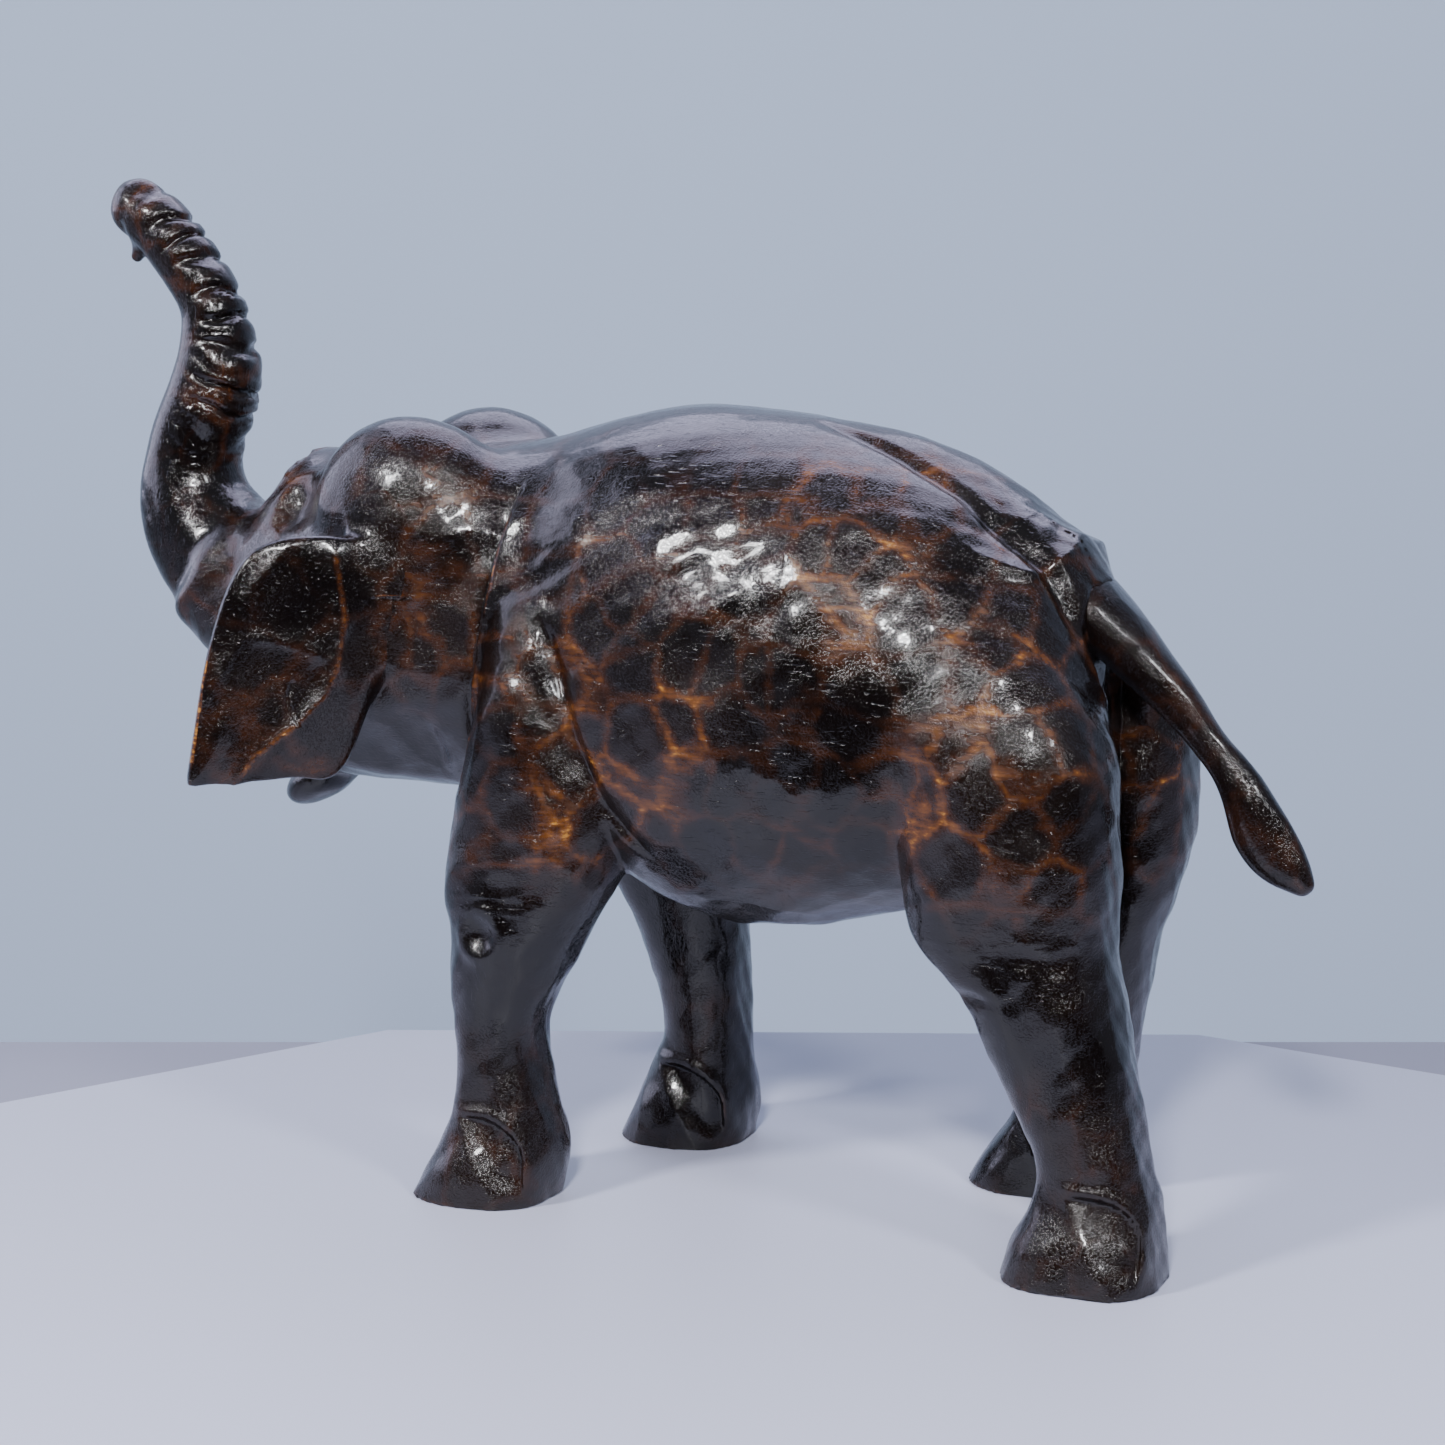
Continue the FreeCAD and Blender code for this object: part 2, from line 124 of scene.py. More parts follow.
def along_body(p, table, waist, squareness):
    """Barrel and head: sections square to Y."""
    low, high, half = read_off(table, p[:, 1])
    middle = low + (high - low) * waist
    rise = p[:, 2] - middle
    wood = section(p[:, 0], rise, half, np.where(rise > 0, high - middle, middle - low), squareness)
    ends = np.maximum(table[0, 0] - p[:, 1], p[:, 1] - table[-1, 0])
    return keep_within(wood, ends, 3.0)


def upright(p, table, squareness):
    """Legs, shoulders and thighs: level sections."""
    front, rear, x, half = read_off(table, p[:, 2])
    wood = section(p[:, 0] - x, p[:, 1] - (front + rear) / 2, half, (rear - front) / 2, squareness)
    ends = np.maximum(table[0, 0] - p[:, 2], p[:, 2] - table[-1, 0])
    return np.maximum(wood, ends)


class Bent:
    """A limb in the middle plane that follows a bent line: trunk and tail."""

    def __init__(self, rows):
        rows = np.array(rows, float)
        length = np.concatenate([[0], np.cumsum(np.hypot(np.diff(rows[:, 0]), np.diff(rows[:, 1])))])
        self.table = flowing(np.column_stack([length, rows]), 150)

    def place(self, p):
        """Length along the limb, and height above its line (to the back of the limb)."""
        line = self.table[:, 1:3]
        gap = (p[:, 1, None] - line[None, :, 0]) ** 2 + (p[:, 2, None] - line[None, :, 1]) ** 2
        i = np.clip(np.argmin(gap, axis=1), 1, len(line) - 2)
        way = line[i + 1] - line[i - 1]
        step = np.linalg.norm(way, axis=1)
        way = way / step[:, None]
        off = p[:, 1:3] - line[i]
        past = (off * way).sum(1)
        return self.table[i, 0] + past, off[:, 0] * way[:, 1] - off[:, 1] * way[:, 0]

    def wood(self, p):
        """The limb's own solid, oval across."""
        along, above = self.place(p)
        _, _, half, depth = read_off(self.table, along)
        ends = np.maximum(-along, along - self.table[-1, 0])
        return keep_within(section(p[:, 0], above, half, depth, 2.15), ends, 1.5)


# ---------------------------------------------------------------- the elephant's stations
BARREL = flowing([
    (-50.6, 97.0, 183.0, 33.0), (-32.6, 92.0, 187.5, 35.0), (-14.6, 85.0, 193.0, 41.0),
    (5.4, 74.0, 197.0, 46.0), (25.4, 69.5, 196.5, 49.0), (50.4, 72.0, 193.0, 50.0),
    (75.4, 79.0, 184.5, 48.0), (95.4, 89.0, 171.5, 41.0), (105.4, 100.0, 160.0, 33.0),
    (112.4, 112.0, 149.5, 22.0), (117.4, 121.0, 141.0, 10.0)])
HEAD = flowing([
    (-147.6, 143.0, 162.0, 17.0), (-136.6, 133.5, 164.0, 19.0), (-126.6, 124.0, 166.5, 21.0),
    (-116.6, 110.0, 168.0, 23.5), (-105.6, 100.0, 178.5, 27.5), (-94.6, 98.0, 182.0, 32.0),
    (-79.6, 98.0, 182.0, 35.5), (-64.6, 98.0, 183.0, 36.0), (-49.6, 98.0, 185.0, 36.0),
    (-32.6, 98.0, 186.5, 35.5), (-16.6, 99.0, 186.0, 35.0)])
TRUNK = Bent([
    (-122.0, 145.0, 17.8, 18.3), (-130.1, 151.5, 17.5, 17.8), (-137.6, 160.0, 16.0, 16.3),
    (-141.6, 169.5, 14.3, 14.4), (-141.7, 178.5, 12.8, 12.6), (-140.0, 185.5, 12.2, 12.1),
    (-135.9, 195.0, 11.8, 11.8), (-133.5, 204.0, 11.0, 11.0), (-133.6, 212.0, 9.6, 9.4),
    (-135.0, 219.5, 8.6, 8.1), (-139.3, 227.0, 8.3, 7.9), (-146.6, 236.0, 8.3, 8.0),
    (-154.1, 243.0, 8.1, 8.1), (-159.4, 246.1, 7.2, 7.6), (-163.1, 247.7, 4.4, 4.8)])
TAIL = Bent([
    (102.9, 158.8, 12.6, 7.2), (108.9, 153.5, 13.0, 7.5), (116.9, 146.0, 11.0, 7.0),
    (124.9, 138.0, 8.0, 6.0), (133.4, 129.0, 5.6, 4.8), (140.4, 120.5, 4.3, 4.2),
    (146.4, 113.0, 4.5, 5.0), (150.9, 104.5, 4.8, 6.6), (155.4, 97.0, 4.5, 6.8),
    (160.9, 91.5, 3.4, 4.4), (164.2, 88.0, 1.6, 1.8)])
BAND = Bent([
    (44.0, 190.0, 2.0, 2.0), (60.9, 187.0, 5.0, 3.5), (74.9, 182.0, 8.0, 4.5),
    (90.9, 172.5, 11.0, 5.0), (108.9, 153.5, 13.0, 7.5), (113.0, 149.5, 12.0, 7.0)])

SHOULDER_TOP = [
    (118.0, -37.6, -4.6, 27.0, 20.6), (135.0, -34.0, -9.6, 24.5, 19.8),
    (150.0, -30.0, -13.6, 19.5, 17.5), (163.0, -26.0, -17.6, 12.0, 11.0)]
THIGH_TOP = [
    (105.0, 76.4, 126.9, 31.2, 19.3), (120.0, 77.4, 125.4, 30.5, 19.5),
    (135.0, 81.4, 117.4, 26.5, 19.5), (149.0, 87.4, 108.4, 19.5, 15.5),
    (160.0, 94.4, 102.4, 14.0, 8.0)]


LEG_X = 34.0                # middle of every sole, out from the middle of the body
FRONT_LEFT_Y, FRONT_RIGHT_Y, REAR_LEFT_Y, REAR_RIGHT_Y = -35.1, -12.1, 123.4, 87.4


def leg(sole_y, rows, upper):
    """Height, front edge, rear edge, middle and half width, from the sole up into the body."""
    low = [(z, sole_y + front, sole_y + rear, LEG_X - inward, half) for z, front, rear, inward, half in rows]
    return flowing(low + upper, 320)


FRONT_LEFT = leg(FRONT_LEFT_Y, [
    (0.0, -18.3, 17.2, 0.0, 17.0), (10.0, -13.0, 19.0, 0.5, 16.0), (18.0, -9.5, 18.3, 1.0, 14.5),
    (31.0, -6.5, 15.3, 1.5, 13.2), (46.0, -7.5, 14.8, 2.0, 13.2), (59.0, -9.0, 21.0, 2.5, 14.8),
    (67.0, -9.0, 25.0, 3.0, 16.0)],
    [(80.0, -45.6, -2.6, 29.5, 18.0), (100.0, -43.1, 2.4, 27.5, 20.0)] + SHOULDER_TOP)
FRONT_RIGHT = leg(FRONT_RIGHT_Y, [
    (0.0, -17.4, 17.0, 0.0, 17.0), (10.0, -12.0, 18.3, 0.5, 16.0), (18.0, -8.4, 18.3, 1.0, 14.5),
    (31.0, -3.5, 17.5, 1.5, 13.2), (46.0, -6.7, 17.5, 2.0, 13.2), (59.0, -11.3, 17.2, 2.5, 14.8),
    (67.0, -15.2, 17.0, 3.0, 16.0)],
    [(80.0, -32.6, 4.9, 29.5, 18.0), (100.0, -38.6, 2.9, 27.5, 20.0)] + SHOULDER_TOP)
REAR_LEFT = leg(REAR_LEFT_Y, [
    (0.0, -20.5, 18.0, 0.0, 17.5), (10.0, -17.0, 17.3, 0.5, 16.0), (18.0, -13.0, 16.0, 1.5, 14.2),
    (26.0, -12.0, 13.8, 2.0, 13.8), (40.0, -18.3, 10.4, 2.9, 14.5), (47.0, -22.0, 8.8, 3.7, 15.3),
    (57.0, -27.5, 6.5, 4.5, 17.0), (67.0, -34.0, 4.5, 5.0, 18.5)],
    [(76.0, 80.4, 126.4, 29.2, 18.3), (90.0, 76.9, 126.9, 30.7, 18.8)] + THIGH_TOP)
REAR_RIGHT = leg(REAR_RIGHT_Y, [
    (0.0, -17.2, 18.5, 0.0, 17.0), (10.0, -11.5, 20.5, 0.5, 16.0), (18.0, -6.0, 22.3, 1.5, 14.2),
    (26.0, -2.5, 24.0, 2.0, 13.8), (40.0, -2.5, 26.5, 2.9, 14.5), (47.0, -4.5, 27.5, 3.7, 15.3),
    (57.0, -7.5, 29.5, 4.5, 17.0), (67.0, -10.0, 31.5, 5.0, 18.5)],
    [(76.0, 76.4, 122.4, 29.2, 18.3), (90.0, 75.9, 125.9, 30.7, 18.8)] + THIGH_TOP)

EAR = flowing([
    (-12.0, 131.0, 163.0, 5.0), (-3.0, 129.5, 164.0, 4.8), (1.0, 121.0, 164.8, 4.4),
    (5.0, 110.5, 165.0, 3.9), (9.0, 105.0, 165.2, 3.5), (18.0, 104.8, 165.4, 3.1),
    (26.0, 104.5, 163.6, 2.8), (32.0, 104.3, 158.8, 2.6), (36.0, 104.2, 151.3, 2.4),
    (39.5, 104.1, 141.0, 2.2), (42.5, 104.1, 128.4, 2.0), (45.0, 104.0, 114.0, 1.8),
    (46.3, 104.0, 107.0, 1.5)])
EAR_FLARE = math.radians(40.0)
EAR_START = np.array((38.0, -64.6, 0.0))
EAR_OUT = np.array((math.sin(EAR_FLARE), -math.cos(EAR_FLARE), 0.0))
EAR_BACK = np.array((math.cos(EAR_FLARE), math.sin(EAR_FLARE), 0.0))



AHEAD_OF_IT, BEHIND_IT = -1.0, 1.0


def glue_face(point, where, rise):
    """A point on a glue face, and the way to the far piece, which rises by so many degrees."""
    lift = math.radians(rise)
    return np.array(point), np.array((0.0, where * math.cos(lift), math.sin(lift)))


NECK = glue_face((0.0, -35.6, 137.0), AHEAD_OF_IT, 10.0)
TRUNK_JOINT = glue_face((0.0, -130.1, 151.5), AHEAD_OF_IT, 35.0)
TAIL_JOINT = glue_face((0.0, 108.9, 153.5), BEHIND_IT, -42.0)
LEG_JOINT = (np.array((0.0, 0.0, 67.0)), np.array((0.0, 0.0, -1.0)))
EAR_JOINT = (np.array((EAR_START[0], 0.0, 0.0)), np.array((1.0, 0.0, 0.0)))


def to_left_side(p):
    """Points of the right side brought over to the left one."""
    return np.column_stack([np.abs(p[:, 0]), p[:, 1], p[:, 2]])


def beyond(p, joint):
    """How far past a glue face a point lies."""
    return (p - joint[0]) @ joint[1]


# ---------------------------------------------------------------- tool marks and carved lines
DICE = np.random.default_rng(11).random((24, 24, 24, 3))


def scoops(p, size, seed=0):
    """Shallow gouge scoops that meet in low ridges: 0 in a scoop's middle, about 1 on a ridge."""
    q = p / np.array(size) + seed * 7.3
    base = np.floor(q).astype(int)
    nearest = np.full(len(p), 9.0)
    for i in (-1, 0, 1):
        for j in (-1, 0, 1):
            for k in (-1, 0, 1):
                cell = base + (i, j, k)
                spot = cell + DICE[cell[:, 0] % 24, cell[:, 1] % 24, cell[:, 2] % 24]
                nearest = np.minimum(nearest, ((q - spot) ** 2).sum(1))
    return np.minimum(nearest * 1.6, 1.3)


def wander(p, size, seed=0):
    """Slow smooth unevenness between -1 and 1."""
    q = p / size + seed * 3.7
    total = np.zeros(len(p))
    for step, (a, b, c) in enumerate(((1.0, 0.7, 0.4), (-0.6, 1.1, 0.8), (0.5, -0.9, 1.2), (1.3, 0.3, -0.7))):
        total += np.sin(q @ np.array((a, b, c)) * (1 + 0.37 * step) * 6.283 + step * 1.9 + seed)
    return total / 4


def off_line(u, v, line):
    """Distance of (u, v) from a bent line of points, and how far along it (0 to 1) the nearest point is."""
    best, share = np.full(len(u), 1e9), np.zeros(len(u))
    line = np.array(line, float)
    for n, (a, b) in enumerate(zip(line[:-1], line[1:])):
        way = b - a
        t = np.clip(((u - a[0]) * way[0] + (v - a[1]) * way[1]) / (way @ way), 0, 1)
        d = np.hypot(u - a[0] - t * way[0], v - a[1] - t * way[1])
        share = np.where(d < best, (n + t) / (len(line) - 1), share)
        best = np.minimum(best, d)
    return best, share


def groove(away, width):
    """1 in the middle of a groove or ridge, dying out either side."""
    return np.exp(-(away / width) ** 2)


def ear_folds(u, z):
    """Height of the soft folds on the back of an ear; u runs out from the root."""
    folds = ((1.35, 3.2, [(9, 161), (7, 145), (9, 133), (12, 126), (19, 119), (30, 111), (35, 104)]),
             (1.0, 3.2, [(20, 163), (29, 154), (32, 149), (32, 141)]),
             (1.1, 2.8, [(41, 126), (32, 141), (24, 140), (18, 138), (9, 134)]),
             (0.8, 2.8, [(32, 141), (35, 125), (41, 111), (44, 105)]))
    rise = np.zeros(len(u))
    for height, width, line in folds:
        away = off_line(u, z, line)[0]
        rise = np.maximum(rise, height * np.exp(-np.hypot(away, 0.7) / width))
    return rise


def ear_marks(u, z):
    """Folds of an ear and the short crack across it."""
    crack = off_line(u, z, [(20, 129), (21.5, 124), (19, 119)])[0]
    return ear_folds(u, z) - 0.55 - 0.5 * groove(crack, 0.6)


def on_ear_folds(p):
    """1 along the folds on the back of either ear, 0 away from them."""
    q = to_left_side(p) - EAR_START
    return ramp(ear_folds(q @ EAR_OUT, q[:, 2]), 0.5, 1.3) * ramp(q @ EAR_BACK, -1, 0.8)


RING_PITCH, WRINKLE_PITCH = 7.0, 3.1     # along the trunk
FLUTES = 6.0                             # long folds from the front of the trunk round to its back
NOSTRIL_IN = 7.0                         # from the tip


def trunk_marks(p):
    """Rings across the back of the trunk and long folds at its foot."""
    along, above = TRUNK.place(p)
    length = TRUNK.table[-1, 0]
    _, _, half, depth = read_off(TRUNK.table, along)
    back = np.clip(above / depth, -1, 1)
    side = p[:, 0] / half
    curl = along + 2.2 * back + 1.1 * np.sin(along * 0.31) + 1.5 * wander(p, 31.0, 4)
    turn = (curl / RING_PITCH) % 1.0
    on_back = ramp(back, -0.15, 0.75) * ramp(along, 40, 60) * (1 - ramp(along, length - 14, length - 6))
    marks = (0.5 - 1.5 * groove(turn - 0.5, 0.16)) * on_back
    fine = groove((curl / WRINKLE_PITCH) % 1.0 - 0.5, 0.2)
    marks -= 0.28 * fine * ramp(along, 38, 50) * (1 - ramp(along, 70, 84)) * ramp(back, -0.8, 0.0)
    around = np.arctan2(np.abs(side), -back)
    flute = np.cos(around * FLUTES + 0.05 * along + 0.6)
    low = ramp(along, 4, 14) * (1 - ramp(along, 30, 44)) * (1 - ramp(back, 0.1, 0.7))
    marks += 0.8 * (flute * 0.5 - 0.2) * low
    nostril = np.hypot(along - (length - NOSTRIL_IN), (np.abs(side) - 0.55) * 8)
    return marks - 1.6 * groove(nostril, 2.6)


FEET = ((LEG_X, FRONT_LEFT_Y), (-LEG_X, FRONT_RIGHT_Y), (LEG_X, REAR_LEFT_Y), (-LEG_X, REAR_RIGHT_Y))
FOOT_TOP = 32


def foot_marks(p):
    """A big toenail under an arched step on each side of a foot, and a ridge down its front."""
    marks = np.zeros(len(p))
    for x, y in FEET:
        near = (np.abs(p[:, 0] - x) < 24) & (np.abs(p[:, 1] - y) < 26) & (p[:, 2] < FOOT_TOP)
        if not near.any():
            continue
        q = p[near]
        dy, z = q[:, 1] - y, q[:, 2]
        side = np.abs(q[:, 0] - x)
        arch = 12.0 - np.hypot(np.maximum(dy - 4, 0), np.maximum(z - 11, 0))
        toe = (dy + 3) * 0.87 + (z - 23) * 0.5
        shown = ramp(side, 5, 10) * ramp(z, 1, 9)
        nail = ramp(arch, 0, 1.6) * ramp(toe, 0, 5.0) * shown
        lip = groove(arch + 0.9, 1.3) * ramp(toe, -1, 2) * shown
        ridge = np.exp(-np.hypot(toe, 0.6) / 1.8) * ramp(side, 2, 6) * (1 - ramp(z, 20, 28))
        marks[near] += -1.5 * nail + 0.5 * lip + 0.6 * ridge
    return marks


def neck_crease(p):
    """Where the neck goes in behind the shoulder."""
    side, z = np.abs(p[:, 0]), p[:, 2]
    neck = -beyond(p, NECK)
    flank = ramp(side, 16, 26) * ramp(z, 100, 112) * (1 - ramp(z, 168, 180)) * (side < 37)
    return flank * (np.where(neck > 0, 1.3 * np.exp(-neck / 7.0), 0) - 1.0 * groove(neck + 0.8, 1.4))


LEG_FOLD = ((-17, 149), (-13, 142), (-8, 128), (-5, 118), (2, 102), (13, 90))


def leg_fold(p):
    """Fold where the front leg meets the barrel, with the leg standing proud of it."""
    side, y, z = np.abs(p[:, 0]), p[:, 1], p[:, 2]
    away, share = off_line(y, z, LEG_FOLD)
    line_y, line_z = zip(*LEG_FOLD[::-1])
    past = y - np.interp(z, line_z, line_y)
    depth = ramp(side, 24, 34) * ramp(share, 0, 0.25) * (1 - ramp(z, 150, 158)) * ramp(z, 88, 95)
    return depth * (-1.7 * groove(away, 1.9) + (1.5 - 1.35 * ramp(past, -2.5, 2.5)) * np.exp(-away / 7.5))


def tail_band(p):
    """Raised band that runs down the rump into the tail, with a groove each side."""
    side, y, z = np.abs(p[:, 0]), p[:, 1], p[:, 2]
    edge = np.interp(y, (40, 62, 78, 90, 108), (6.0, 10.0, 13.5, 16.0, 17.0))
    top = ramp(y, 38, 62) * ramp(z, 138, 146) * (1 - ramp(y, 108, 114))
    return top * (-1.6 * groove(side - edge - 1.0, 2.2) + 1.0 * (1 - ramp(side, edge - 2.5, edge + 0.5)))


def near_spot(p, middle, reach):
    """0 in the middle of a lump, 1 at its edge."""
    return np.sqrt((((p - np.array(middle)) / np.array(reach)) ** 2).sum(1))


def rough_patches(p):
    """Knot and chips on the front left shin; chips and a gouge over the rear left knee."""
    knot = near_spot(p, (47, -30, 69), (1, 1, 1))
    shin = near_spot(p, (46, -27, 76), (8, 14, 9))
    knee = near_spot(p, (47, 108, 78), (12, 22, 7))
    gouge = near_spot(p, (44, 99, 66), (9, 5, 1.6))
    marks = -1.6 * groove(knot, 3.2) + 0.7 * groove(knot - 5.8, 2.2)
    marks += (groove(shin, 1) + groove(knee, 1)) * 0.6 * (scoops(p, (9, 14, 4.5), 7) - 0.6)
    return marks - 1.3 * groove(gouge, 1)


SCOOP_DEPTH = 0.62
SCOOP_MIDDLE = 0.45         # of a scoop's depth, left at the plain shape's level
EAR_ROOT_X = EAR_START[0]


def tool_marks(p):
    """How far the finished skin stands above the plain shape."""
    side, y, z = np.abs(p[:, 0]), p[:, 1], p[:, 2]
    on_leg = 1 - ramp(z, 60, 85)
    marks = SCOOP_DEPTH * (scoops(p, (15, 19, 15)) - SCOOP_MIDDLE) * (1 - on_leg)
    marks += SCOOP_DEPTH * (scoops(p, (11, 11, 36), 2) - SCOOP_MIDDLE) * on_leg
    marks += 0.45 * wander(p, 46.0) + 0.22 * wander(p, 17.0, 5)
    marks *= 1 - 0.6 * ramp(z, 168, 186)
    on_ear = (side > EAR_ROOT_X - 2) & (y < -48) & (z > 98)
    up_trunk = beyond(p, TRUNK_JOINT)
    on_trunk = up_trunk > -6
    on_plate = np.where(on_ear, ramp(side, EAR_ROOT_X - 1, EAR_ROOT_X + 4), 0.0)
    marks *= 1 - 0.65 * np.maximum(on_plate, ramp(up_trunk, -6, 0))
    if on_trunk.any():
        marks[on_trunk] += trunk_marks(p[on_trunk])
    if on_ear.any():
        q = to_left_side(p[on_ear]) - EAR_START
        behind = ramp(q @ EAR_BACK, -1, 0.8) * ramp(side[on_ear], EAR_ROOT_X, EAR_ROOT_X + 5)
        marks[on_ear] += ear_marks(q @ EAR_OUT, q[:, 2]) * behind
    on_foot = z < FOOT_TOP
    if on_foot.any():
        marks[on_foot] += foot_marks(p[on_foot])
    return marks + neck_crease(p) + leg_fold(p) + tail_band(p) + rough_patches(p)


# ---------------------------------------------------------------- the carved shapes
def ear_plate(p):
    """Both ears as thin flaring plates, folded forward below."""
    q = to_left_side(p) - EAR_START
    out, back = q @ EAR_OUT, q @ EAR_BACK
    low, high, half = read_off(EAR, out)
    fold, _ = off_line(out, q[:, 2], [(7, 150), (9, 133), (12, 126), (19, 119), (30, 111), (37, 100)])
    inner = ramp(out, 37 - (q[:, 2] - 100) * 0.62, 30 - (q[:, 2] - 100) * 0.62) * (q[:, 2] < 150)
    back = back + 0.16 * fold * inner
    wood = section(back, q[:, 2] - (low + high) / 2, half, (high - low) / 2, 3.0)
    return keep_within(wood, np.maximum(EAR[0, 0] - out, out - EAR[-1, 0]), 1.0)


def skull(p):
    """Skull with twin domes, brow, hollow temples, cheeks, lower lip and eyes."""
    side = to_left_side(p)
    wood = along_body(p, HEAD, 0.45, 2.4)
    wood = join(wood, egg(side, (20.5, -62.6, 168.0), (18.5, 27.0, 25.5)), 7.0)
    wood = join(wood, egg(p, (0, -99.5, 169.0), (14.0, 11.5, 14.0)), 4.0)
    wood = keep_within(wood, -egg(side, (31.0, -97.0, 176.0), (13.0, 9.5, 13.0)), 2.5)
    wood = keep_within(wood, beyond(p, TRUNK_JOINT), 3.0)
    cheek = (side - np.array((32.0, -60.0, 119.0))) @ np.array((0.80, 0.05, -0.60))
    wood = keep_within(wood, cheek, 0.9)
    wood = join(wood, egg(p, (0, -103.6, 95.5), (9.0, 11.5, 5.5), 32.0), 3.0)
    wood = join(wood, egg(side, (27.5, -98.6, 153.0), (3.4, 5.0, 3.2)), 1.2)
    return wood


def plain_elephant(p):
    """The whole figure less the free part of the tail."""
    wood = only_near(p, (-60, -60, 60), (60, 125, 205), lambda q: along_body(q, BARREL, 0.42, 2.2))
    wood = join(wood, only_near(p, (-25, 35, 130), (25, 120, 205), BAND.wood), 3.0)
    neck = beyond(p, NECK)
    for side, table in ((1, FRONT_LEFT), (-1, FRONT_RIGHT)):
        q = p * np.array((side, 1, 1))
        limb = only_near(q, (-5, -65, -5), (62, 25, 196), lambda r: upright(r, table, 2.5))
        limb = keep_within(limb, neck - 0.3, 2.0)
        wood = join(wood, limb, 2.0 + 10.0 * ramp(p[:, 2], 118, 152))
    for side, table in ((1, REAR_LEFT), (-1, REAR_RIGHT)):
        q = p * np.array((side, 1, 1))
        limb = only_near(q, (-5, 60, -5), (62, 150, 196), lambda r: upright(r, table, 2.6))
        wood = join(wood, limb, 2.0 + 13.0 * ramp(p[:, 2], 96, 146))
    cleft = np.maximum(np.maximum(np.abs(p[:, 0]) - 14.5, 113.0 - p[:, 1]), p[:, 2] - 158.0)
    wood = keep_within(wood, -cleft, 1.2)
    head = only_near(p, (-55, -160, 75), (55, -10, 205), skull)
    wood = join(wood, head, 3.5)
    wood = join(wood, only_near(p, (-32, -180, 118), (32, -100, 262), TRUNK.wood), 6.0)
    wood = join(wood, only_near(p, (-6, -172, 222), (6, -145, 245),
                                lambda q: roll(q, (0, -153.5, 240), (0, -158.3, 232.6), 4.6, 1.7)), 2.5)
    wood = join(wood, only_near(p, (-80, -112, 95), (80, -45, 175), ear_plate), 4.0)
    return wood


def elephant(p):
    """The carved figure with its tool marks."""
    wood = plain_elephant(p)
    skin = np.abs(wood) < 7
    if skin.any():
        wood[skin] -= tool_marks(p[skin])
    return np.maximum(wood, -p[:, 2])


def tail_wood(p):
    """Free part of the tail with its scoops."""
    wood = TAIL.wood(p)
    wood -= 0.3 * (scoops(p, (8, 12, 12), 5) - 0.45)
    return np.maximum(wood, -beyond(p, TAIL_JOINT))


# ---------------------------------------------------------------- cutting the surface
def slope_of(field, p, reach):
    """Value and outward direction of a carved shape at each point."""
    corners = np.array(((1, 1, 1), (1, -1, -1), (-1, 1, -1), (-1, -1, 1)), float)
    values = [field(p + c * reach) for c in corners]
    way = sum(c[None] * v[:, None] for c, v in zip(corners, values)) / (4 * reach)
    return sum(values) / 4, way


